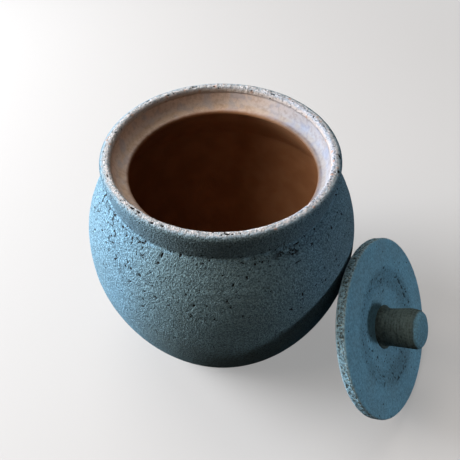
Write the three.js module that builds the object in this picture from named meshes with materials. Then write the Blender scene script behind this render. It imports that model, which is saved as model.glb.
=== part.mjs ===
// A wheel-thrown stoneware salt jar, with its lid taken off and leaned against its side.
// Millimetres, +Z up. The origin is the centre of the jar's flat foot, on the table,
// and the lid leans on the jar from the +X side.

import * as THREE from "three";

// Jar, outside
const footRadius = 32.3; // flat foot that stands on the table
const footRound = 1.0; // worn edge of the foot
const bellyRadius = 50.2; // widest part of the body
const bellyHeight = 46.2; // level of the widest part
const bellyFullness = 1.75; // how quickly the wall rises to the belly from the foot
const shoulderFullness = 2.65; // how long the belly stays full before it turns in
const collarHeight = 78.4; // level where the shoulder meets the collar
const collarRadius = 39.5; // outside of the collar at its foot
const collarStep = 0.6; // ridge that the shoulder leaves round the collar's foot
const rimRadius = 40.6; // outside of the rim
const jarHeight = 88.8;

// Jar, inside
const lipWidth = 3.8; // rounded lip on top of the rim
const lipCrown = 1.3; // from the inside of the lip to its highest line
const lipFall = 2.2; // how far the lip rounds down from there on either side
const ledgeWidth = 4.2; // gallery, the sunk ledge that carries the lid
const ledgeDepth = 7.9; // from the top of the lip down to the throat
const ledgeRound = 1.2; // softened edge of the throat
const wallThickness = 4.2;
const floorThickness = 5.5;
const floorCorner = 9.0; // size of the curve between floor and wall

// Lid
const lidRestWidth = 0.9; // how far the lid's edge laps onto the gallery
const lidThickness = 3.9;
const lidEdgeRound = 0.9;
const dishDepth = 1.7; // how far the middle of the lid is sunk
const dishRimWidth = 9.6; // flat band between the dish and the lid's edge
const dishFlatMargin = 4.3; // flat floor of the dish outside the knob's foot
const leanAngle = 58.4; // degrees between the lid and the table

// Knob
const knobRadius = 7.0; // shaft, at its slimmest
const knobTipRadius = 7.45;
const knobFootRadius = 8.2; // flare of clay that is worked onto the lid
const knobFlareHeight = 2.6;
const knobLength = 14.4;
const knobTipRound = 2.0;
const knobTipDome = 0.5;

const seam = 0.3; // room left between pieces that touch

const jarSides = 64;
const lidSides = 64;
const knobSides = 40;

const throatRadius = rimRadius - lipWidth - ledgeWidth;
const lidRadius = throatRadius + lidRestWidth;

// Points along a curve, without its first one, so that curves can follow each other.
function follow(curve, steps) {
  return curve.getPoints(steps).slice(1);
}

function arc(centre, radiusX, radiusY, fromDegrees, toDegrees) {
  const from = THREE.MathUtils.degToRad(fromDegrees);
  const to = THREE.MathUtils.degToRad(toDegrees);
  return new THREE.EllipseCurve(centre.x, centre.y, radiusX, radiusY, from, to);
}

function bend(start, corner, end) {
  return new THREE.QuadraticBezierCurve(start, corner, end);
}

function point(radius, height) {
  return new THREE.Vector2(radius, height);
}

// A profile turned about +Z. Profiles run from the axis, outwards along the underside,
// up and back to the axis.
function turned(profile, sides) {
  const geometry = new THREE.LatheGeometry(profile, sides);
  geometry.rotateX(Math.PI / 2);
  return geometry;
}

function piece(name, geometry, material) {
  const mesh = new THREE.Mesh(geometry, material);
  mesh.name = name;
  return mesh;
}

// Outside radius of the thrown wall at a height: it swells from the foot to the belly,
// turns in over the shoulder and stops at the collar.
function wallRadius(height) {
  if (height >= collarHeight) {
    return rimRadius;
  }
  if (height < bellyHeight) {
    const below = 1 - Math.max(height, 0) / bellyHeight;
    return bellyRadius - (bellyRadius - footRadius) * below ** bellyFullness;
  }
  const above = (height - bellyHeight) / (collarHeight - bellyHeight);
  const shoulderEnd = collarRadius + collarStep;
  return bellyRadius - (bellyRadius - shoulderEnd) * above ** shoulderFullness;
}

function wallPoints(fromHeight, toHeight, steps, inset) {
  const points = [];
  for (let i = 0; i <= steps; i++) {
    const height = fromHeight + ((toHeight - fromHeight) * i) / steps;
    points.push(point(wallRadius(height) - inset, height));
  }
  return points;
}

// Jar body: foot, belly, shoulder, collar and rounded lip outside; a coved gallery, a throat,
// an even wall and a dished floor inside.
function jarProfile() {
  const lipHeight = jarHeight - lipFall;
  const lipMiddle = point(rimRadius - lipWidth + lipCrown, lipHeight);
  const ledgeHeight = jarHeight - ledgeDepth;
  const lipInside = point(rimRadius - lipWidth, lipHeight);
  const throatEdge = point(throatRadius + ledgeRound, ledgeHeight);
  const ledgeCorner = point(lipInside.x - ledgeWidth * 0.12, ledgeHeight + ledgeRound);
  const throatSide = point(throatRadius, ledgeHeight - ledgeRound);
  const shoulderInside = point(0, (bellyHeight + collarHeight) / 2);
  shoulderInside.x = wallRadius(shoulderInside.y) - wallThickness;
  const underThroat = point(throatRadius + ledgeWidth, collarHeight - wallThickness);
  const cornerMiddle = point(wallRadius(floorThickness) - wallThickness, floorThickness);
  const cornerTop = point(0, floorThickness + floorCorner);
  cornerTop.x = wallRadius(cornerTop.y) - wallThickness;
  const cornerEnd = point(cornerMiddle.x - floorCorner, floorThickness);

  return [
    point(0, 0),
    point(footRadius - footRound, 0),
    ...wallPoints(footRound, bellyHeight, 9, 0),
    ...wallPoints(bellyHeight, collarHeight, 11, 0).slice(1),
    point(collarRadius, collarHeight + collarStep),
    ...arc(lipMiddle, lipWidth - lipCrown, lipFall, 0, 90).getPoints(5),
    ...follow(arc(lipMiddle, lipCrown, lipFall, 90, 180), 4),
    ...follow(bend(lipInside, ledgeCorner, throatEdge), 6),
    ...follow(bend(throatEdge, point(throatRadius, ledgeHeight), throatSide), 3),
    ...follow(bend(throatSide, underThroat, shoulderInside), 6),
    ...wallPoints(shoulderInside.y, cornerTop.y, 8, wallThickness).slice(1),
    ...follow(bend(cornerTop, cornerMiddle, cornerEnd), 4),
    point(0, floorThickness),
  ];
}

// Lid plate: an even disc with a flat band at its edge and a sunk, flat-floored dish in the
// middle. Its own height 0 is the middle of the band's thickness.
function dishFall(radius) {
  const floorRadius = knobFootRadius + dishFlatMargin;
  const rise = THREE.MathUtils.smoothstep(radius, floorRadius, lidRadius - dishRimWidth);
  return -dishDepth * (1 - rise);
}

function lidPlateProfile() {
  const half = lidThickness / 2;
  const edge = lidRadius - lidEdgeRound;
  const lowerRound = point(edge, lidEdgeRound - half);
  const upperRound = point(edge, half - lidEdgeRound);
  const floorRadius = knobFootRadius + dishFlatMargin;
  const steps = 8;
  const radii = [];
  for (let i = 0; i <= steps; i++) {
    radii.push(floorRadius + ((lidRadius - dishRimWidth - floorRadius) * i) / steps);
  }
  const under = radii.map((radius) => point(radius, dishFall(radius) - half));
  const over = radii.map((radius) => point(radius, dishFall(radius) + half)).reverse();

  return [
    point(0, -dishDepth - half),
    ...under,
    ...arc(lowerRound, lidEdgeRound, lidEdgeRound, -90, 0).getPoints(4),
    ...arc(upperRound, lidEdgeRound, lidEdgeRound, 0, 90).getPoints(4),
    ...over,
    point(0, half - dishDepth),
  ];
}

// Knob: a stout peg that flares at the foot and swells a little towards its domed tip.
function knobProfile() {
  const foot = point(knobFootRadius, 0);
  const flareCorner = point(knobRadius, knobFlareHeight / 5);
  const flareTop = point(knobRadius, knobFlareHeight);
  const tipSide = point(knobTipRadius, knobLength - knobTipDome - knobTipRound);
  const tipCorner = point(knobTipRadius, knobLength - knobTipDome);
  const tipEdge = point(knobTipRadius - knobTipRound, knobLength - knobTipDome);
  const domeCorner = point(knobTipRadius / 2, knobLength);

  return [
    point(0, 0),
    foot,
    ...follow(bend(foot, flareCorner, flareTop), 6),
    tipSide,
    ...follow(bend(tipSide, tipCorner, tipEdge), 4),
    ...follow(bend(tipEdge, domeCorner, point(0, knobLength)), 4),
  ];
}

// The lid stands on the table on the round of its lower edge and touches the jar with the
// round of its upper edge. Returns where the middle of the lid then is.
function leaningLidCentre() {
  const lean = THREE.MathUtils.degToRad(leanAngle);
  const along = lidRadius - lidEdgeRound;
  const across = lidThickness / 2 - lidEdgeRound;
  const height = along * Math.sin(lean) + across * Math.cos(lean) + lidEdgeRound;
  const contactHeight = height + along * Math.sin(lean) - across * Math.cos(lean);
  const reach = lidEdgeRound + seam;
  const steps = 40;
  let contact = 0;
  for (let i = 0; i <= steps; i++) {
    const offset = reach * ((2 * i) / steps - 1);
    const side = wallRadius(contactHeight + offset) + Math.sqrt(reach ** 2 - offset ** 2);
    contact = Math.max(contact, side);
  }
  const distance = contact + along * Math.cos(lean) + across * Math.sin(lean);
  return new THREE.Vector3(distance, 0, height);
}

const slateClay = new THREE.MeshStandardMaterial({ color: 0x55697a, roughness: 0.8, metalness: 0 });
const lidClay = new THREE.MeshStandardMaterial({ color: 0x4a6478, roughness: 0.72, metalness: 0 });
const knobClay = new THREE.MeshStandardMaterial({ color: 0x44494a, roughness: 0.78, metalness: 0 });

const saltJar = new THREE.Group();
saltJar.add(piece("jar_body", turned(jarProfile(), jarSides), slateClay));

const lid = new THREE.Group();
lid.position.copy(leaningLidCentre());
lid.rotation.y = THREE.MathUtils.degToRad(leanAngle);
lid.add(piece("lid_plate", turned(lidPlateProfile(), lidSides), lidClay));

const knob = piece("lid_knob", turned(knobProfile(), knobSides), knobClay);
knob.position.z = lidThickness / 2 - dishDepth + seam;
lid.add(knob);
saltJar.add(lid);

export default saltJar;
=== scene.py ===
import math

import bpy
import numpy as np
from mathutils import Matrix, Vector, noise


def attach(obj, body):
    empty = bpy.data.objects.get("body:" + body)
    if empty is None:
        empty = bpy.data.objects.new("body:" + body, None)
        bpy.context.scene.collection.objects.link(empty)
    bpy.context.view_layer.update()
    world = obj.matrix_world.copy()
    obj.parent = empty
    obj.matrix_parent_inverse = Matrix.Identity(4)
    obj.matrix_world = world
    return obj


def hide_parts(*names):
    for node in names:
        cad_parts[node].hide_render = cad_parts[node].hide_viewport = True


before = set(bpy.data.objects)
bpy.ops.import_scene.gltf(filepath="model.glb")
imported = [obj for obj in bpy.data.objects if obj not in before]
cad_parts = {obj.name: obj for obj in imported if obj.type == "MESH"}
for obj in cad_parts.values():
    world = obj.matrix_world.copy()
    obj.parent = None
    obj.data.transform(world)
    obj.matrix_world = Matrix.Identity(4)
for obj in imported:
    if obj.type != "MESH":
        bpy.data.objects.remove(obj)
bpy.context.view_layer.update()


# Jar body
# The pot: sandy stoneware thrown on the wheel and trimmed to a flat foot. Outside it has a dry
# slate-blue slip, the lip is wiped down to pale clay, and the gallery and inside are satin brown.

mm = 0.001

foot_radius = 32.3
foot_round = 1.0
belly_radius = 50.2
belly_height = 46.2
belly_fullness = 1.75
shoulder_fullness = 2.65
collar_height = 78.4
collar_radius = 39.5
collar_step = 0.6
rim_radius = 40.6
jar_height = 88.8
lip_width = 3.8
lip_crown = 1.3
lip_fall = 2.2
lip_bluntness = 0.75
ledge_width = 4.2
ledge_depth = 7.9
ledge_round = 1.2
wall_thickness = 4.2
floor_thickness = 5.5
floor_corner = 9.0
throat_drift = 0.8
drift_angle = math.radians(28)
jar_sides = 768

throat_radius = rim_radius - lip_width - ledge_width


def wall_radius(height):
    """Outside radius of the thrown wall at a height, from the foot to the collar."""
    below = np.clip(1 - height / belly_height, 0, 1)
    above = np.clip((height - belly_height) / (collar_height - belly_height), 0, 1)
    foot_fall = (belly_radius - foot_radius) * below ** belly_fullness
    shoulder_fall = (belly_radius - collar_radius - collar_step) * above ** shoulder_fullness
    return belly_radius - foot_fall - shoulder_fall


def wall_line(from_height, to_height, inset):
    heights = np.linspace(from_height, to_height, 200)
    return np.column_stack([wall_radius(heights) - inset, heights])


def bend_line(start, corner, end):
    t = np.linspace(0, 1, 60)[:, None]
    start, corner, end = np.array(start), np.array(corner), np.array(end)
    return start * (1 - t) ** 2 + corner * 2 * t * (1 - t) + end * t ** 2


def arc_line(centre, across, up, from_degrees, to_degrees, bluntness=1.0):
    """A stretch of an ellipse, which a bluntness under 1 squares off."""
    angles = np.radians(np.linspace(from_degrees, to_degrees, 60))
    sides = np.sign(np.cos(angles)) * np.abs(np.cos(angles)) ** bluntness
    rises = np.sign(np.sin(angles)) * np.abs(np.sin(angles)) ** bluntness
    return np.array(centre) + np.column_stack([across * sides, up * rises])


def straight_line(start, end):
    return np.array([start, end], dtype=float)


def evenly_spaced(line, spacing):
    """The same line with points about a spacing apart, and its ends kept."""
    steps = np.hypot(*np.diff(line, axis=0).T)
    way = np.concatenate([[0], np.cumsum(steps)])
    count = max(int(round(way[-1] / spacing)), 1)
    wanted = np.linspace(0, way[-1], count + 1)
    return np.column_stack([np.interp(wanted, way, line[:, i]) for i in (0, 1)])


def joined_outline(lines_and_spacings):
    """One outline from lines that follow each other, each with its own point spacing."""
    points = []
    for line, spacing in lines_and_spacings:
        points.append(evenly_spaced(line, spacing)[1 if points else 0:])
    return np.concatenate(points)


def way_along(outline):
    """Distance along the outline from its first point to each point."""
    return np.concatenate([[0], np.cumsum(np.hypot(*np.diff(outline, axis=0).T))])


def outward(outline):
    """Outward directions of an outline that runs out along the underside and back over the top."""
    run = np.gradient(outline, axis=0)
    run /= np.hypot(*run.T)[:, None]
    return np.column_stack([run[:, 1], -run[:, 0]])


def turned_piece(name, outline, raised, attributes, drift=0.0):
    """A mesh turned about Z from an outline whose ends lie on the axis. raised is how far each
    point stands out along the outline's normal, and drift how far each ring is off centre."""
    rows, sides = raised.shape
    normal = outward(outline)
    radius = outline[:, 0, None] + raised * normal[:, 0, None]
    height = outline[:, 1, None] + raised * normal[:, 1, None]
    angle = np.arange(sides) * 2 * math.pi / sides
    grid = np.stack([radius * np.cos(angle), radius * np.sin(angle), height], axis=-1) + drift
    first, last = grid[:1].mean(axis=1), grid[-1:].mean(axis=1)
    points = np.concatenate([first, grid[1:-1].reshape(-1, 3), last]) * mm

    ring = np.arange(sides)
    following = (ring + 1) % sides
    faces = [(0, 1 + b, 1 + a) for a, b in zip(ring, following)]
    for row in range(rows - 3):
        near = 1 + row * sides
        far = near + sides
        faces += zip(near + ring, near + following, far + following, far + ring)
    end = 1 + (rows - 3) * sides
    faces += [(end + a, end + b, len(points) - 1) for a, b in zip(ring, following)]

    mesh = bpy.data.meshes.new(name)
    mesh.from_pydata(points.tolist(), [], [tuple(map(int, face)) for face in faces])
    mesh.polygons.foreach_set("use_smooth", [True] * len(mesh.polygons))
    for key, values in attributes.items():
        layer = mesh.attributes.new(key, "FLOAT", "POINT")
        flat = np.concatenate([[values[0].mean()], values[1:-1].ravel(), [values[-1].mean()]])
        layer.data.foreach_set("value", flat.astype(np.float32))
    piece = bpy.data.objects.new(name, mesh)
    bpy.context.collection.objects.link(piece)
    return piece


def soft_noise(outline, sides, feature, seed):
    """Smooth random swelling over a turned surface, about -1 to 1, with features of a size."""
    angle = np.arange(sides) * 2 * math.pi / sides
    value = np.empty((len(outline), sides))
    for row, (radius, height) in enumerate(outline):
        for column in range(sides):
            at = Vector((radius * math.cos(angle[column]), radius * math.sin(angle[column]), height))
            value[row, column] = noise.noise(at / feature + Vector((seed, seed * 1.7, seed * 0.6)))
    return value


def press_marks(marks, way, radius, ragged):
    """How deep pits and drag marks go in millimetres, and their share of full depth. A mark is
    (angle in degrees, place along the outline, length, width, depth, slant from level)."""
    sides = ragged.shape[1]
    depth = np.zeros(ragged.shape)
    share = np.zeros(ragged.shape)
    side_angle = 360 / sides
    for angle, place, length, width, deep, slant in marks:
        row = np.flatnonzero(np.abs(way - place) < 2.2 * max(length, width))
        if not len(row):
            continue
        around = max(radius[row].mean(), 1.0)
        reach = int(2.2 * max(length, width) / (math.radians(side_angle) * around)) + 1
        middle = int(round(angle / side_angle))
        column = np.arange(middle - reach, middle + reach + 1)
        level = (column * side_angle - angle)[None, :] * math.radians(1) * around
        rise = (way[row] - place)[:, None]
        lean = math.radians(slant)
        along = (level * math.cos(lean) + rise * math.sin(lean)) / length
        across = (rise * math.cos(lean) - level * math.sin(lean)) / width
        here = np.ix_(row, column % sides)
        bowl = np.exp(-1.6 * (along ** 2 + across ** 2) * (1 + ragged[here]))
        depth[here] = np.maximum(depth[here], bowl * deep)
        share[here] = np.maximum(share[here], bowl)
    return depth, share


lip_height = jar_height - lip_fall
lip_middle = (rim_radius - lip_width + lip_crown, lip_height)
lip_inside = (rim_radius - lip_width, lip_height)
ledge_height = jar_height - ledge_depth
throat_edge = (throat_radius + ledge_round, ledge_height)
ledge_corner = (lip_inside[0] - ledge_width * 0.12, ledge_height + ledge_round)
throat_side = (throat_radius, ledge_height - ledge_round)
shoulder_height = (belly_height + collar_height) / 2
shoulder_inside = (float(wall_radius(shoulder_height)) - wall_thickness, shoulder_height)
under_throat = (throat_radius + ledge_width, collar_height - wall_thickness)
corner_height = floor_thickness + floor_corner
corner_top = (float(wall_radius(corner_height)) - wall_thickness, corner_height)
corner_middle = (float(wall_radius(floor_thickness)) - wall_thickness, floor_thickness)
corner_end = (corner_middle[0] - floor_corner, floor_thickness)
shoulder_end = (collar_radius + collar_step, collar_height)
collar_foot = (collar_radius, collar_height + collar_step)

jar_outline = joined_outline([
    (straight_line((0, 0), (foot_radius - foot_round, 0)), 3.0),
    (straight_line((foot_radius - foot_round, 0), (float(wall_radius(foot_round)), foot_round)), 0.5),
    (wall_line(foot_round, belly_height, 0), 0.8),
    (wall_line(belly_height, collar_height, 0), 0.33),
    (bend_line(shoulder_end, (collar_radius + 0.1, collar_height + 0.1), collar_foot), 0.25),
    (straight_line(collar_foot, (rim_radius, lip_height)), 0.4),
    (arc_line(lip_middle, lip_width - lip_crown, lip_fall, 0, 90, lip_bluntness), 0.25),
    (arc_line(lip_middle, lip_crown, lip_fall, 90, 180, lip_bluntness), 0.25),
    (bend_line(lip_inside, ledge_corner, throat_edge), 0.35),
    (bend_line(throat_edge, (throat_radius, ledge_height), throat_side), 0.35),
    (bend_line(throat_side, under_throat, shoulder_inside), 1.2),
    (wall_line(shoulder_height, corner_height, wall_thickness), 1.6),
    (bend_line(corner_top, corner_middle, corner_end), 1.2),
    (straight_line(corner_end, (0, floor_thickness)), 2.5),
])
jar_way = way_along(jar_outline)
lip_row = int(np.argmax(jar_outline[:, 1]))
lip_way = jar_way - jar_way[lip_row]
outer = slice(3, lip_row)


def outside_way(height):
    """Place along the outline of a point on the outside of the jar at a height."""
    return float(np.interp(height, jar_outline[outer, 1], lip_way[outer]))


def inside_way(point):
    """Place along the outline of the point nearest to one on the inside of the jar."""
    gap = np.hypot(*(jar_outline[lip_row:] - point).T)
    return float(lip_way[lip_row + int(np.argmin(gap))])


dice = np.random.default_rng(11)


def scattered_marks(count, places, sizes, depths):
    """Small pits strewn round a piece, thicker towards the second place."""
    marks = []
    for _ in range(count):
        place = places[1] - (places[1] - places[0]) * dice.random() ** 1.8
        size = sizes[0] + (sizes[1] - sizes[0]) * dice.random() ** 2
        depth = depths[0] + (depths[1] - depths[0]) * dice.random()
        stretch = dice.uniform(1.0, 2.2)
        marks.append((dice.uniform(0, 360), place, size * stretch, size, depth, dice.uniform(-90, 90)))
    return marks


# The large pits and scratches of the shoulder: angle, height, length, width, depth, slant
shoulder_pits = [
    (246.9, 78.2, 0.9, 0.6, 0.45, 0), (260.9, 78.2, 1.2, 0.5, 0.4, 0), (263.8, 69.3, 1.0, 0.6, 0.5, -25),
    (258.9, 69.7, 0.9, 0.5, 0.4, -30), (271.6, 77.5, 1.1, 0.4, 0.45, 80), (270.8, 75.2, 0.6, 0.5, 0.4, 60),
    (302.6, 72.2, 0.8, 0.35, 0.4, 85), (287.7, 65.3, 0.6, 0.5, 0.4, 0), (331.4, 73.7, 2.2, 0.22, 0.35, 4),
    (333.0, 78.2, 1.5, 0.4, 0.35, 0), (329.8, 76.3, 0.8, 0.45, 0.35, -20), (339.9, 80.2, 1.0, 0.5, 0.3, 0),
]
# Where the trimming tool tore the clay: angle, height, length, width, slant
torn_zones = [
    (221, 77.8, 11, 1.8, 0), (238, 76.2, 10, 3.0, -12), (247, 70.0, 8, 2.6, -35), (262, 76.6, 6, 2.6, -60),
    (224, 73.0, 5, 3.5, -80), (332, 77.4, 10, 2.2, 0), (345, 75.0, 6, 2.2, -15), (35, 78.0, 11, 1.8, 0),
    (78, 77.0, 9, 2.6, -10), (118, 76.0, 9, 3.0, -40), (150, 73.0, 8, 2.6, -20), (182, 77.8, 11, 1.8, 0),
    (229, 78.5, 13, 0.9, 0), (249, 78.4, 12, 0.9, 0),
]
# The large pits of the lip: angle, offset inwards from its crown, length, width, depth, slant
lip_pits = [
    (254.1, 0.0, 0.9, 0.6, 0.5, 20), (258.0, 0.1, 0.9, 0.45, 0.4, 0), (266.8, -1.1, 0.6, 0.5, 0.4, 0),
    (272.0, -0.6, 0.6, 0.5, 0.45, 0), (300.8, -0.2, 0.9, 0.5, 0.35, 0), (22.4, -1.6, 1.0, 0.6, 0.5, 10),
    (11.3, -1.6, 0.8, 0.6, 0.4, 0), (86.1, 0.6, 0.7, 0.5, 0.4, 0), (132.7, -0.4, 1.2, 0.5, 0.45, 0),
    (161.7, -1.0, 0.9, 0.5, 0.35, 0),
]
jar_marks = [(angle, outside_way(height), *shape) for angle, height, *shape in shoulder_pits]
jar_marks += lip_pits
jar_marks += scattered_marks(300, (outside_way(58), outside_way(80)), (0.28, 0.5), (0.1, 0.3))
jar_marks += scattered_marks(140, (outside_way(8), outside_way(66)), (0.25, 0.45), (0.1, 0.25))
jar_marks += scattered_marks(70, (-2.0, 0.8), (0.2, 0.36), (0.1, 0.25))
ragged = 1.2 * soft_noise(jar_outline, jar_sides, 0.7, 9.4)
pit_depth, pit_share = press_marks(jar_marks, lip_way, jar_outline[:, 0], np.clip(ragged, -0.7, 1.5))
zone_marks = [(angle, outside_way(height), length, width, 1.0, slant)
              for angle, height, length, width, slant in torn_zones]
torn_share = press_marks(zone_marks, lip_way, jar_outline[:, 0], np.zeros(pit_share.shape))[1]

# Hand-thrown unevenness: a slightly oval wall, faint throwing rings, a rough lip, a throat off centre
side_angles = np.arange(jar_sides) * 2 * math.pi / jar_sides
oval = 0.10 * np.cos(2 * side_angles + 0.9) + 0.06 * np.cos(3 * side_angles + 2.1) - 0.1
on_wall = np.clip(jar_outline[:, 1] / 10, 0, 1)[:, None]
rings = 0.05 * np.sin(jar_way / 0.62)[:, None] * np.sin(jar_way / 7.3)[:, None]
is_outside = ((lip_way < -3) & (jar_outline[:, 1] > 1))[:, None]
near_lip = np.exp(-(lip_way / 2.6) ** 2)[:, None]
lip_rows = np.flatnonzero(near_lip[:, 0] > 0.02)
lip_rough = np.zeros((len(jar_outline), jar_sides))
lip_rough[lip_rows] = (
    0.12 * soft_noise(jar_outline[lip_rows], jar_sides, 2.8, 3.1)
    + 0.05 * soft_noise(jar_outline[lip_rows], jar_sides, 1.1, 5.7)
)
jar_raised = oval[None, :] * on_wall * is_outside + rings * is_outside
jar_raised = jar_raised + lip_rough * near_lip - pit_depth

lip_end = inside_way(lip_inside)
throat_way = inside_way(throat_edge)
drift_share = np.clip((lip_way - lip_end) / (throat_way - lip_end), 0, 1)
drift_side = np.array([math.cos(drift_angle), math.sin(drift_angle), 0])
jar_drift = throat_drift * drift_share[:, None, None] * drift_side

jar_body = turned_piece(
    "jar_body_clay",
    jar_outline,
    jar_raised,
    {"lip_way": np.repeat(lip_way[:, None], jar_sides, axis=1), "pit": pit_share, "torn": torn_share},
    jar_drift,
)


def srgb(red, green, blue):
    """A colour from 0-255 screen values, as Blender's linear colour."""
    def linear(value):
        value /= 255
        return value / 12.92 if value <= 0.04045 else ((value + 0.055) / 1.055) ** 2.4
    return (linear(red), linear(green), linear(blue), 1.0)


def feed(tree, node, inputs):
    for key, value in inputs.items():
        if isinstance(value, bpy.types.NodeSocket):
            tree.links.new(value, node.inputs[key])
        else:
            node.inputs[key].default_value = value
    return node


def math_node(tree, operation, *values):
    node = tree.nodes.new("ShaderNodeMath")
    node.operation = operation
    return feed(tree, node, dict(enumerate(values))).outputs[0]


def band(tree, value, low, high, from_value=0.0, to_value=1.0):
    """A smooth step of a value from low to high."""
    node = tree.nodes.new("ShaderNodeMapRange")
    node.interpolation_type = "SMOOTHSTEP"
    inputs = {"Value": value, 1: low, 2: high, 3: from_value, 4: to_value}
    return feed(tree, node, inputs).outputs[0]


def stripe(tree, value, start, end, soft):
    """1 between start and end, with soft sides."""
    rising = band(tree, value, start - soft, start + soft)
    falling = band(tree, value, end - soft, end + soft, 1.0, 0.0)
    return math_node(tree, "MULTIPLY", rising, falling)


def blend_colour(tree, share, first, second, mode="MIX"):
    node = tree.nodes.new("ShaderNodeMix")
    node.data_type = "RGBA"
    node.blend_type = mode
    return feed(tree, node, {0: share, 6: first, 7: second}).outputs[2]


def cloud(tree, coords, feature, detail=2.0, rough=0.5):
    """Smooth noise from 0 to 1 with features of a size in millimetres."""
    node = tree.nodes.new("ShaderNodeTexNoise")
    inputs = {"Vector": coords, "Scale": 1 / (feature * mm), "Detail": detail, "Roughness": rough}
    return feed(tree, node, inputs).outputs["Fac"]


def specks(tree, coords, feature, share, size):
    """Round specks in a share of the cells, 1 at the middle of a speck and 0 outside."""
    node = tree.nodes.new("ShaderNodeTexVoronoi")
    feed(tree, node, {"Vector": coords, "Scale": 1 / (feature * mm)})
    split = tree.nodes.new("ShaderNodeSeparateColor")
    tree.links.new(node.outputs["Color"], split.inputs[0])
    chosen = math_node(tree, "LESS_THAN", split.outputs[0], share)
    dot = band(tree, node.outputs["Distance"], size * 0.5, size, 1.0, 0.0)
    return math_node(tree, "MULTIPLY", chosen, dot)


def pebbles(tree, coords, feature):
    """Close-set rounded grains, 1 on top of a grain and 0 between grains."""
    node = tree.nodes.new("ShaderNodeTexVoronoi")
    feed(tree, node, {"Vector": coords, "Scale": 1 / (feature * mm)})
    return band(tree, node.outputs["Distance"], 0.1, 0.75, 1.0, 0.0)


def cracks(tree, coords, feature, width):
    """Thin wandering cracks that run mostly level, 1 in a crack and 0 beside it."""
    wander = tree.nodes.new("ShaderNodeTexNoise")
    feed(tree, wander, {"Vector": coords, "Scale": 0.8 / (feature * mm), "Detail": 3.0})
    push = tree.nodes.new("ShaderNodeVectorMath")
    push.operation = "MULTIPLY_ADD"
    sway = 1.4 * feature * mm
    feed(tree, push, {0: wander.outputs["Color"], 1: (sway, sway, sway), 2: coords})
    level = tree.nodes.new("ShaderNodeMapping")
    feed(tree, level, {"Vector": push.outputs[0], "Scale": (0.6, 0.6, 1.0)})
    node = tree.nodes.new("ShaderNodeTexVoronoi")
    node.feature = "DISTANCE_TO_EDGE"
    feed(tree, node, {"Vector": level.outputs[0], "Scale": 1 / (feature * mm)})
    return band(tree, node.outputs["Distance"], 0.3 * width / feature, width / feature, 1.0, 0.0)


def mesh_value(tree, name):
    node = tree.nodes.new("ShaderNodeAttribute")
    node.attribute_name = name
    return node.outputs["Fac"]


def frayed(tree, value, coords, feature, amount):
    """A value pushed to and fro by noise, so that a border on it is ragged."""
    push = math_node(tree, "MULTIPLY_ADD", cloud(tree, coords, feature, 3.0), 2 * amount, -amount)
    return math_node(tree, "ADD", value, push)


def relief(tree, height, depth, before=None):
    node = tree.nodes.new("ShaderNodeBump")
    inputs = {"Height": height, "Strength": 1.0, "Distance": depth * mm}
    if before is not None:
        inputs["Normal"] = before
    return feed(tree, node, inputs).outputs[0]


def new_material(name):
    material = bpy.data.materials.new(name)
    material.use_nodes = True
    tree = material.node_tree
    shader = tree.nodes["Principled BSDF"]
    coords = tree.nodes.new("ShaderNodeTexCoord").outputs["Object"]
    return material, tree, shader, coords


slip_light = srgb(101, 134, 150)
slip_dark = srgb(58, 80, 91)
slip_grey = srgb(92, 114, 121)
grain_pale = srgb(131, 170, 192)
# Painted shade: the front of the slip is tinted greyer and warmer
front_angle = math.radians(297)
front_painted_shade = (1.0, 0.84, 0.70, 1.0)
collar_shade = (0.74, 0.71, 0.70, 1.0)
# Near black: dark specks of the clay, and painted shade in pits and cracks
speck_and_shade_black = srgb(12, 13, 13)
clay_pale = srgb(178, 170, 166)
clay_grey = srgb(122, 131, 135)
thin_slip = srgb(97, 116, 126)
bare_tan = srgb(148, 108, 82)
fleck_brown = srgb(84, 70, 62)
pooled_tan = srgb(174, 160, 148)
wall_tan = srgb(207, 184, 166)
seat_tan = srgb(198, 183, 171)
ring_tan = srgb(191, 160, 128)
mottle_brown = srgb(146, 118, 96)
mottle_blue = srgb(163, 168, 180)
streak_pale = srgb(200, 194, 184)
# Painted shade for the gallery and the lip on the side that faces the key lamp
gallery_painted_shade = (0.36, 0.44, 0.57, 1.0)
lip_painted_shade = (0.70, 0.73, 0.80, 1.0)
chamber_brown = srgb(151, 108, 76)
chamber_dark = srgb(139, 98, 67)
# Painted shade for the inside wall that faces away from the key lamp
chamber_painted_shade = (0.5, 0.45, 0.4, 1.0)

grain_size = 0.55
sand_size = 0.5
crack_spacing = 2.2
crack_width = 0.24
clay_specular = 0.12

jar_clay, tree, shader, coords = new_material("jar_clay")
way = mesh_value(tree, "lip_way")
pit = mesh_value(tree, "pit")

grain = band(tree, cloud(tree, coords, grain_size, 2.0, 0.6), 0.36, 0.66)
sand = pebbles(tree, coords, sand_size)
patches = band(tree, cloud(tree, coords, 26.0, 3.0), 0.38, 0.66)
pale_grains = specks(tree, coords, 1.15, 0.34, 0.36)
dark_grains = specks(tree, coords, 1.5, 0.2, 0.3)
slip = blend_colour(tree, math_node(tree, "MULTIPLY", patches, 0.6), slip_light, slip_grey)
slip = blend_colour(tree, grain, slip_dark, slip)
slip = blend_colour(tree, math_node(tree, "MULTIPLY", sand, 0.2), slip, grain_pale)
slip = blend_colour(tree, math_node(tree, "MULTIPLY", pale_grains, 0.3), slip, grain_pale)
slip = blend_colour(tree, math_node(tree, "MULTIPLY", dark_grains, 0.7), slip, speck_and_shade_black)

split = tree.nodes.new("ShaderNodeSeparateXYZ")
tree.links.new(coords, split.inputs[0])
around = math_node(tree, "ARCTAN2", split.outputs["Y"], split.outputs["X"])
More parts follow.
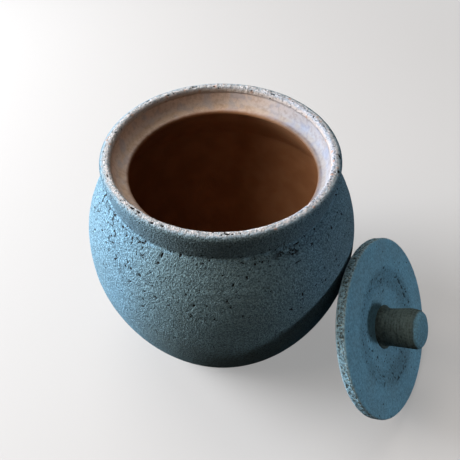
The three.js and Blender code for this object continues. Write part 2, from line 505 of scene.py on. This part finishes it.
# Painted shade by side, set for these lamps: the front is tinted greyer and warmer, the gallery and lip
# are darkened on the side that faces the key lamp, and the inside is darkened on the side that lies in its
# shade
front_shade_side = math_node(tree, "COSINE", math_node(tree, "SUBTRACT", around, front_angle))
lit_side = math_node(tree, "COSINE", math_node(tree, "SUBTRACT", around, drift_angle))
facing_light = band(tree, lit_side, 0.1, 0.9)
slip = blend_colour(tree, band(tree, front_shade_side, 0.7, 1.0), slip, front_painted_shade, "MULTIPLY")

gaps = band(tree, cloud(tree, coords, 2.4, 3.0), 0.48, 0.58)
torn = math_node(tree, "MULTIPLY", band(tree, mesh_value(tree, "torn"), 0.1, 0.6), gaps)
torn = math_node(tree, "MULTIPLY", torn, cracks(tree, coords, crack_spacing, crack_width))
# Painted shade: the cracks of the torn zones are darkened to near black
slip = blend_colour(tree, math_node(tree, "MULTIPLY", torn, 0.9), slip, speck_and_shade_black)

collar_way = outside_way(collar_height + collar_step)
collar = stripe(tree, frayed(tree, way, coords, 3.0, 0.25), collar_way, -1.8, 0.2)
slip = blend_colour(tree, collar, slip, collar_shade, "MULTIPLY")
ridge = stripe(tree, way, collar_way - 1.0, collar_way - 0.2, 0.3)
worn = band(tree, cloud(tree, coords, 4.0, 3.0), 0.42, 0.6)
worn_ridge = math_node(tree, "MULTIPLY", math_node(tree, "MULTIPLY", ridge, worn), 0.35)
slip = blend_colour(tree, worn_ridge, slip, grain_pale)

lip_border = frayed(tree, way, coords, 1.8, 0.8)
outer_lip = band(tree, lip_border, -2.2, -1.3)
lip_outside = blend_colour(tree, grain, clay_grey, thin_slip)
crest = blend_colour(tree, grain, clay_grey, clay_pale)
lip_colour = blend_colour(tree, band(tree, lip_border, -1.4, -0.5), lip_outside, crest)
lip_colour = blend_colour(tree, band(tree, lip_border, 0.9, 2.2), lip_colour, pooled_tan)
# Painted shade: the inner half of the lip is darkened on the side that faces the key lamp
lip_shade_share = math_node(tree, "MULTIPLY", facing_light, band(tree, lip_border, -0.9, 0.3))
lip_colour = blend_colour(tree, lip_shade_share, lip_colour, lip_painted_shade, "MULTIPLY")
tan_spots = specks(tree, coords, 2.2, 0.26, 0.36)
lip_colour = blend_colour(tree, math_node(tree, "MULTIPLY", tan_spots, 0.6), lip_colour, bare_tan)
brown_flecks = math_node(tree, "MULTIPLY", specks(tree, coords, 0.9, 0.22, 0.36), 0.6)
lip_colour = blend_colour(tree, brown_flecks, lip_colour, fleck_brown)
lip_colour = blend_colour(tree, specks(tree, coords, 1.3, 0.1, 0.3), lip_colour, speck_and_shade_black)

glaze_border = frayed(tree, way, coords, 2.4, 0.5)
glazed = band(tree, glaze_border, lip_end - 0.4, lip_end + 0.4)
runs = tree.nodes.new("ShaderNodeCombineXYZ")
run_place = math_node(tree, "MULTIPLY", around, throat_radius * mm)
feed(tree, runs, {"X": run_place, "Y": math_node(tree, "MULTIPLY", way, 0.25 * mm)})
streaks = band(tree, cloud(tree, runs.outputs[0], 1.8, 3.0, 0.6), 0.3, 0.75)
seat = band(tree, way, lip_end + 2.0, throat_way - 1.6)
gallery = blend_colour(tree, seat, wall_tan, seat_tan)
gallery = blend_colour(tree, math_node(tree, "MULTIPLY", streaks, 0.12), gallery, streak_pale)
at_throat = stripe(tree, glaze_border, throat_way - 2.2, throat_way, 0.7)
tan_ring = math_node(tree, "MULTIPLY", at_throat, 0.5)
gallery = blend_colour(tree, tan_ring, gallery, ring_tan)
mottle = band(tree, cloud(tree, coords, 1.5, 3.0, 0.6), 0.42, 0.66)
gallery = blend_colour(tree, math_node(tree, "MULTIPLY", mottle, 0.35), gallery, mottle_brown)
bluing = band(tree, cloud(tree, coords, 6.0, 3.0), 0.5, 0.66)
gallery = blend_colour(tree, math_node(tree, "MULTIPLY", bluing, 0.4), gallery, mottle_blue)
clouding = band(tree, cloud(tree, coords, 9.0, 2.0), 0.35, 0.7)
chamber = blend_colour(tree, clouding, chamber_dark, chamber_brown)
# Painted shade: the inside is darkened on the key lamp's side, where the wall faces away from it
chamber_shade_side = band(tree, lit_side, -0.9, 0.3, 1.0, 0.0)
chamber = blend_colour(tree, chamber_shade_side, chamber, chamber_painted_shade, "MULTIPLY")
in_chamber = band(tree, frayed(tree, way, coords, 2.0, 0.4), throat_way - 0.9, throat_way + 1.6)
glaze = blend_colour(tree, in_chamber, gallery, chamber)
# Painted shade: the gallery and the top of the chamber are darkened on the side that faces the key lamp
above_chamber = band(tree, way, throat_way + 1.0, throat_way + 4.0, 1.0, 0.0)
gallery_shade_share = math_node(tree, "MULTIPLY", facing_light, above_chamber)
glaze = blend_colour(tree, gallery_shade_share, glaze, gallery_painted_shade, "MULTIPLY")

skin = blend_colour(tree, outer_lip, slip, lip_colour)
skin = blend_colour(tree, glazed, skin, glaze)
bare = math_node(tree, "SUBTRACT", 1.0, glazed)
# Painted shade: the pits in the bare clay are darkened to near black
pit_shade = math_node(tree, "MULTIPLY", band(tree, pit, 0.28, 0.58), bare)
skin = blend_colour(tree, pit_shade, skin, speck_and_shade_black)

roughness = math_node(tree, "MULTIPLY_ADD", glazed, -0.28, 0.82)
dryness = math_node(tree, "MULTIPLY_ADD", outer_lip, -0.5, 1.0)
dryness = math_node(tree, "MULTIPLY_ADD", glazed, -0.35, dryness)
normal = relief(tree, math_node(tree, "MULTIPLY", grain, dryness), 0.14)
normal = relief(tree, math_node(tree, "MULTIPLY", sand, dryness), 0.17, normal)
normal = relief(tree, torn, -0.3, normal)
lumps = math_node(tree, "MULTIPLY", cloud(tree, coords, 1.3, 2.0), outer_lip)
normal = relief(tree, math_node(tree, "MULTIPLY", lumps, bare), 0.5, normal)
feed(tree, shader, {"Base Color": skin, "Roughness": roughness, "Normal": normal})
shader.inputs["Specular IOR Level"].default_value = clay_specular

jar_body.data.materials.append(jar_clay)
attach(jar_body, "jar")
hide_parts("jar_body")


# Lid plate
# A disc of the same stoneware, turned with a flat band at its edge and a shallow sunk middle. Its
# face has the slate-blue slip, torn in a ring where the tool cut the dish, and its edge is bare clay.

lid_radius = throat_radius + 0.9
lid_thickness = 3.9
lid_edge_round = 0.9
dish_depth = 1.7
dish_rim_width = 9.6
dish_floor_radius = 12.5
lean_angle = math.radians(58.4)
seam = 0.3
lid_sides = 448

half = lid_thickness / 2
dish_radius = lid_radius - dish_rim_width


def dish_line(offset):
    radius = np.linspace(dish_floor_radius, dish_radius, 80)
    share = (radius - dish_floor_radius) / (dish_radius - dish_floor_radius)
    rise = share * share * (3 - 2 * share)
    return np.column_stack([radius, offset - dish_depth * (1 - rise)])


edge_radius = lid_radius - lid_edge_round
lid_under = dish_line(-half)
lid_over = dish_line(half)[::-1]
lid_outline = joined_outline([
    (straight_line((0, -half - dish_depth), lid_under[0]), 1.6),
    (lid_under, 1.0),
    (straight_line(lid_under[-1], (edge_radius, -half)), 0.8),
    (arc_line((edge_radius, lid_edge_round - half), lid_edge_round, lid_edge_round, -90, 0), 0.2),
    (straight_line((lid_radius, lid_edge_round - half), (lid_radius, half - lid_edge_round)), 0.25),
    (arc_line((edge_radius, half - lid_edge_round), lid_edge_round, lid_edge_round, 0, 90), 0.2),
    (straight_line((edge_radius, half), lid_over[0]), 0.4),
    (lid_over, 0.35),
    (straight_line(lid_over[-1], (0, half - dish_depth)), 0.5),
])
lid_way = way_along(lid_outline)
widest = np.flatnonzero(lid_outline[:, 0] > lid_radius - 0.01)
edge_way = lid_way - lid_way[widest].mean()
face_radii = lid_outline[widest[-1]:, 0][::-1]
face_ways = edge_way[widest[-1]:][::-1]


def face_way(radius):
    """Place along the outline of a point on the lid's face at a radius."""
    return float(np.interp(radius, face_radii, face_ways))


def torn_trail(angle, place, radius, steps, heading):
    """A chain of small tears that wanders off in a heading, in degrees up from level."""
    marks = []
    for _ in range(steps):
        turn = heading + dice.normal(0, 40)
        size = dice.random()
        marks.append((angle, place, 0.45 + 0.5 * size, 0.24 + 0.16 * size, 0.2 + 0.2 * size, turn))
        stride = dice.uniform(0.8, 1.9)
        angle += math.degrees(stride * math.cos(math.radians(turn)) / radius)
        place += stride * math.sin(math.radians(turn))
    return marks


# The large pits and tool marks of the face: angle, radius, length, width, depth, slant
face_pits = [
    (146, 18.0, 0.8, 0.65, 0.4, 0), (142, 22.2, 0.8, 0.65, 0.4, 0), (110, 20.6, 0.8, 0.6, 0.4, 30),
    (101, 20.3, 1.9, 0.6, 0.45, 0), (92, 20.0, 1.9, 0.45, 0.35, 0), (81, 19.6, 1.9, 0.5, 0.4, 0),
    (262, 13.2, 1.2, 0.5, 0.35, 40), (284, 12.4, 1.0, 0.6, 0.35, 0), (329, 18.3, 0.7, 0.6, 0.35, 0),
    (356, 21.6, 0.7, 0.6, 0.3, 0),
]
# Where the tool tore the ring of the dish: angle, radius, steps
face_tears = [(300, 18.5, 3), (330, 20.0, 3), (352, 21.0, 4), (150, 17.5, 3)]
lid_marks = [(angle, face_way(radius), *shape) for angle, radius, *shape in face_pits]
for angle, radius, steps in face_tears:
    lid_marks += torn_trail(angle, face_way(radius), radius, steps, 0)
lid_marks += scattered_marks(230, (face_way(12), face_way(21.5)), (0.2, 0.46), (0.08, 0.28))
lid_marks += scattered_marks(130, (-1.8, 1.6), (0.2, 0.4), (0.08, 0.25))
lid_ragged = 1.2 * soft_noise(lid_outline, lid_sides, 0.7, 4.4)
lid_pit_depth, lid_pit_share = press_marks(
    lid_marks, edge_way, lid_outline[:, 0], np.clip(lid_ragged, -0.7, 1.5)
)

on_face = ((edge_way > 1.2) & (lid_outline[:, 0] > 9))[:, None]
turning = 0.03 * np.sin(lid_way / 0.24)[:, None] * on_face
near_edge = np.exp(-(edge_way / 1.8) ** 2)[:, None]
edge_rows = np.flatnonzero(near_edge[:, 0] > 0.02)
edge_rough = np.zeros((len(lid_outline), lid_sides))
edge_rough[edge_rows] = (
    0.10 * soft_noise(lid_outline[edge_rows], lid_sides, 2.2, 8.3)
    + 0.10 * soft_noise(lid_outline[edge_rows], lid_sides, 0.9, 1.9)
)
lid_raised = turning + (edge_rough - 0.08) * near_edge - lid_pit_depth

lid_plate = turned_piece(
    "lid_plate_clay",
    lid_outline,
    lid_raised,
    {"edge_way": np.repeat(edge_way[:, None], lid_sides, axis=1), "pit": lid_pit_share},
)

# The lid stands on the round of its lower edge and leans on the jar with the round of its upper edge
edge_across = half - lid_edge_round
lid_height = edge_radius * math.sin(lean_angle) + edge_across * math.cos(lean_angle) + lid_edge_round
touch_height = lid_height + edge_radius * math.sin(lean_angle) - edge_across * math.cos(lean_angle)
touch_reach = lid_edge_round + seam
touch_offsets = np.linspace(-touch_reach, touch_reach, 41)
touch_sides = wall_radius(touch_height + touch_offsets) + np.sqrt(touch_reach ** 2 - touch_offsets ** 2)
lid_distance = (
    float(touch_sides.max()) + edge_radius * math.cos(lean_angle) + edge_across * math.sin(lean_angle)
)
lid_centre = Matrix.Translation((lid_distance * mm, 0, lid_height * mm))
lid_place = lid_centre @ Matrix.Rotation(lean_angle, 4, "Y")
lid_plate.matrix_world = lid_place

lid_slip = srgb(105, 154, 177)
lid_slip_dark = srgb(85, 125, 143)
edge_blue = srgb(131, 168, 184)
edge_dark = srgb(55, 62, 58)
edge_grey = srgb(156, 168, 161)
edge_pale_and_highlight = srgb(156, 184, 197)

lid_grain_size = 0.8
dry_roughness = 0.8

lid_clay, tree, shader, coords = new_material("lid_clay")
way = mesh_value(tree, "edge_way")
pit = mesh_value(tree, "pit")
grain = band(tree, cloud(tree, coords, lid_grain_size, 4.0, 0.6), 0.34, 0.68)
patches = band(tree, cloud(tree, coords, 12.0, 3.0), 0.36, 0.66)
face = blend_colour(tree, grain, lid_slip_dark, lid_slip)
face = blend_colour(tree, math_node(tree, "MULTIPLY", patches, 0.25), face, slip_grey)
face = blend_colour(tree, specks(tree, coords, 1.6, 0.12, 0.26), face, speck_and_shade_black)
# The slope of the dish is darkened a little: partly painted shade in its hollow, partly for the tears
# along it
torn_ring_and_shade = stripe(tree, way, face_way(22.5), face_way(15.5), 1.6)
face = blend_colour(tree, math_node(tree, "MULTIPLY", torn_ring_and_shade, 0.22), face, speck_and_shade_black)
border = frayed(tree, way, coords, 1.2, 0.5)
clay = blend_colour(tree, grain, edge_dark, edge_blue)
clay = blend_colour(tree, specks(tree, coords, 0.8, 0.3, 0.36), clay, edge_grey)
skin = blend_colour(tree, stripe(tree, border, -2.7, 1.7, 0.25), face, clay)
upper_line = math_node(tree, "MULTIPLY", stripe(tree, border, 1.2, 2.0, 0.2), 0.2)
skin = blend_colour(tree, upper_line, skin, edge_grey)
# A pale line round the lower edge: pale bare clay, brightened further as a painted highlight
lower_edge_highlight = math_node(tree, "MULTIPLY", stripe(tree, border, -2.4, -1.1, 0.25), 0.6)
skin = blend_colour(tree, lower_edge_highlight, skin, edge_pale_and_highlight)
# Painted shade: the pits of the lid are darkened to near black
pit_shade = math_node(tree, "MULTIPLY", band(tree, pit, 0.28, 0.58), 0.75)
skin = blend_colour(tree, pit_shade, skin, speck_and_shade_black)
normal = relief(tree, grain, 0.10)
feed(tree, shader, {"Base Color": skin, "Normal": normal})
shader.inputs["Roughness"].default_value = dry_roughness
shader.inputs["Specular IOR Level"].default_value = clay_specular

lid_plate.data.materials.append(lid_clay)
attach(lid_plate, "lid")
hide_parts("lid_plate")


# Lid knob
# A stout peg of clay, turned by itself and luted onto the lid's sunk middle with a little slip.
# Fine turning lines ring its side. Its end is painted slate blue as painted light and its side olive as
# painted shade, lit and shaded copies of one clay.

knob_radius = 7.0
knob_tip_radius = 7.45
knob_foot_radius = 8.2
knob_flare_height = 2.6
knob_length = 14.4
knob_tip_round = 2.0
knob_tip_dome = 0.5
knob_tip_wear = 1.1
knob_sides = 192

knob_foot = (knob_foot_radius, -seam)
knob_flare_top = (knob_radius, knob_flare_height)
tip_side = (knob_tip_radius, knob_length - knob_tip_dome - knob_tip_round)
tip_corner = (knob_tip_radius, knob_length - knob_tip_dome)
tip_edge = (knob_tip_radius - knob_tip_round, knob_length - knob_tip_dome)
tip_middle = (0, knob_length)
knob_outline = joined_outline([
    (straight_line((0, -seam), knob_foot), 1.5),
    (bend_line(knob_foot, (knob_radius, knob_flare_height / 5), knob_flare_top), 0.3),
    (straight_line(knob_flare_top, tip_side), 0.25),
    (bend_line(tip_side, tip_corner, tip_edge), 0.2),
    (bend_line(tip_edge, (knob_tip_radius / 2, knob_length), tip_middle), 0.4),
])
knob_way = way_along(knob_outline)
knob_angles = np.arange(knob_sides) * 2 * math.pi / knob_sides
tip_way = knob_way[np.argmin(np.hypot(*(knob_outline - tip_corner).T))]
knob_rings = 0.04 * np.sin(knob_way / 0.19)[:, None] * (knob_outline[:, 0] > 5)[:, None]
knob_uneven = 0.12 * soft_noise(knob_outline, knob_sides, 5.0, 2.2)
upper_side = np.clip(-np.cos(knob_angles), 0, 1)[None, :]
tip_worn = knob_tip_wear * np.exp(-((knob_way - tip_way) / 2.0) ** 2)[:, None] * upper_side
knob_raised = knob_rings + knob_uneven - tip_worn - 0.1
knob_raised[knob_outline[:, 1] < 0] = 0
lid_knob = turned_piece("lid_knob_clay", knob_outline, knob_raised, {})
lid_knob.matrix_world = lid_place @ Matrix.Translation((0, 0, (half - dish_depth + seam) * mm))

knob_shaded_olive = srgb(67, 81, 79)
knob_shaded_dark = srgb(41, 51, 50)
knob_pale = srgb(84, 98, 95)
tip_painted_light = srgb(93, 136, 154)
tip_painted_light_dark = srgb(76, 110, 123)

knob_clay, tree, shader, coords = new_material("knob_clay")
split = tree.nodes.new("ShaderNodeSeparateXYZ")
tree.links.new(coords, split.inputs[0])
height = math_node(tree, "DIVIDE", split.outputs["Z"], mm)
grain = band(tree, cloud(tree, coords, lid_grain_size, 4.0, 0.6), 0.34, 0.68)
side = blend_colour(tree, grain, knob_shaded_dark, knob_shaded_olive)
stretched = tree.nodes.new("ShaderNodeMapping")
feed(tree, stretched, {"Vector": coords, "Scale": (0.12, 0.12, 1.0)})
lines = band(tree, cloud(tree, stretched.outputs[0], 0.6, 2.0), 0.36, 0.64)
side = blend_colour(tree, math_node(tree, "MULTIPLY", lines, 0.4), side, knob_pale)
border = frayed(tree, height, coords, 2.0, 0.3)
# Painted light and shade: the end takes the lit slate blue and the side the shaded olive
at_tip = band(tree, border, tip_edge[1] - 1.1, tip_edge[1] - 0.5)
tip = blend_colour(tree, grain, tip_painted_light_dark, tip_painted_light)
skin = blend_colour(tree, at_tip, side, tip)
normal = relief(tree, grain, 0.10)
normal = relief(tree, lines, 0.06, normal)
feed(tree, shader, {"Base Color": skin, "Normal": normal})
shader.inputs["Roughness"].default_value = dry_roughness
shader.inputs["Specular IOR Level"].default_value = clay_specular

lid_knob.data.materials.append(knob_clay)
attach(lid_knob, "lid")
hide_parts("lid_knob")


# Floor and background
# A plain pale table top under the jar, which takes its shadow and fades into a plain pale surround.

floor_size = 3.0
floor_drop = 0.1
fade_start = 0.25
fade_end = 0.65
floor_mesh = bpy.data.meshes.new("floor")
corner = floor_size / 2
floor_mesh.from_pydata(
    [(-corner, -corner, 0), (corner, -corner, 0), (corner, corner, 0), (-corner, corner, 0)],
    [],
    [(0, 1, 2, 3)],
)
floor = bpy.data.objects.new("floor", floor_mesh)
floor.location.z = -floor_drop * mm
bpy.context.collection.objects.link(floor)


def seen_directly(tree):
    """1 where the camera sees a surface, and 0 where only light from the object reaches it."""
    return tree.nodes.new("ShaderNodeLightPath").outputs["Is Camera Ray"]


table_top, tree, shader, coords = new_material("table_top")
bounce_grey = (0.045, 0.042, 0.040, 1.0)
pale_top = (0.23, 0.22, 0.21, 1.0)
top_glow = (0.30, 0.30, 0.30, 1.0)
pale_surround = (0.80, 0.80, 0.80, 1.0)
seen = seen_directly(tree)
distance = tree.nodes.new("ShaderNodeVectorMath")
distance.operation = "LENGTH"
feed(tree, distance, {0: coords})
far = band(tree, distance.outputs["Value"], fade_start, fade_end)
lit_top = blend_colour(tree, far, pale_top, (0.0, 0.0, 0.0, 1.0))
feed(tree, shader, {
    "Base Color": blend_colour(tree, seen, bounce_grey, lit_top),
    "Emission Color": blend_colour(tree, far, top_glow, pale_surround),
    "Emission Strength": seen,
})
shader.inputs["Roughness"].default_value = 1.0
shader.inputs["Specular IOR Level"].default_value = 0.0
floor_mesh.materials.append(table_top)

world = bpy.data.worlds.new("surround")
bpy.context.scene.world = world
world.use_nodes = True
background = world.node_tree.nodes["Background"]
room_light = (0.075, 0.064, 0.055, 1.0)
tree = world.node_tree
feed(tree, background, {"Color": blend_colour(tree, seen_directly(tree), room_light, pale_surround)})
background.inputs["Strength"].default_value = 1.0


# Lights
# A large soft box at the left, weaker ones high at the left and high behind, and a small one low at the
# right. All are nearly white: the low ones are a little cool and the high ones a little warm.

view_azimuth = math.radians(28.66)
aim_height = 45.0


def soft_box(name, turn_degrees, rise_degrees, distance, size, power, colour):
    """A square lamp that faces the jar, turned anticlockwise from the camera's side of it."""
    lamp = bpy.data.lights.new(name, "AREA")
    lamp.energy = power
    lamp.size = size
    lamp.color = colour
    turn = view_azimuth - math.pi / 2 + math.radians(turn_degrees)
    rise = math.radians(rise_degrees)
    middle = Vector((0, 0, aim_height * mm))
    out = Vector((math.cos(turn) * math.cos(rise), math.sin(turn) * math.cos(rise), math.sin(rise)))
    box = bpy.data.objects.new(name, lamp)
    box.location = middle + out * distance
    box.rotation_euler = (-out).to_track_quat("-Z", "Y").to_euler()
    bpy.context.collection.objects.link(box)


soft_box("key_left", -103, 15, 0.8, 0.5, 32.0, (0.82, 0.90, 1.0))
soft_box("top_left", -82, 43, 0.9, 0.5, 6.4, (1.0, 0.90, 0.82))
soft_box("back_left", -150, 60, 0.9, 0.6, 5.6, (1.0, 0.96, 0.94))
soft_box("fill_right", 75, 1, 0.9, 0.12, 3.2, (0.82, 0.90, 1.0))


# Camera
# Where the picture was taken from, worked out from the outlines of the rim, the belly and the lid.

image_size = 460
focal_pixels = 540.0
camera_distance = 141.7
camera_height = 204.3
camera_pitch = 0.8330
camera_yaw = 0.0216

lens = bpy.data.cameras.new("camera")
lens.sensor_width = 36.0
lens.lens = focal_pixels / image_size * lens.sensor_width
lens.clip_start = 0.01
camera = bpy.data.objects.new("camera", lens)
camera.location = (
    camera_distance * math.sin(view_azimuth) * mm,
    -camera_distance * math.cos(view_azimuth) * mm,
    camera_height * mm,
)
camera.rotation_euler = (math.pi / 2 - camera_pitch, 0, view_azimuth - camera_yaw)
bpy.context.collection.objects.link(camera)
bpy.context.scene.camera = camera
bpy.context.scene.view_settings.view_transform = "Standard"
